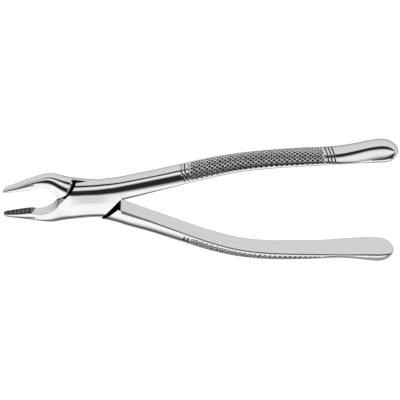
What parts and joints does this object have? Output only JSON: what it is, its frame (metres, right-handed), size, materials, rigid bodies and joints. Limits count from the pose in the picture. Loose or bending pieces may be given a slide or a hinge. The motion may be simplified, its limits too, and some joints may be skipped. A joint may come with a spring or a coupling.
{
  "type": "dental extraction forceps",
  "caption": "Hand forceps with two crossed halves on a pivot screw, slender bent beaks with hollowed cross-cut gripping faces, and long curved knurled handles.",
  "frame": {"origin": "the pivot axis where it meets the rear joint face, on which the forceps lies", "axes": "+Z along the pivot from the rear joint face to the front one; +X from the pivot towards the handle ends, so the beaks are at -X; +Y towards the handle of the front half"},
  "size_m": [0.1775, 0.0684, 0.0141],
  "materials": {
    "polished_steel": "mirror-polished stainless steel",
    "polished_steel_rear": "mirror-polished stainless steel",
    "screw_steel": "turned and polished stainless steel"
  },
  "bodies": {
    "rear": {"rear_half": "polished_steel_rear"},
    "front": {"front_half": "polished_steel", "pivot_screw": "screw_steel"}
  },
  "joints": [
    {"name": "pivot", "type": "hinge", "parent": "rear", "child": "front", "pos_m": [0, 0, 0], "axis": [0, 0, 1], "range_deg": [-17, 14]}
  ]
}
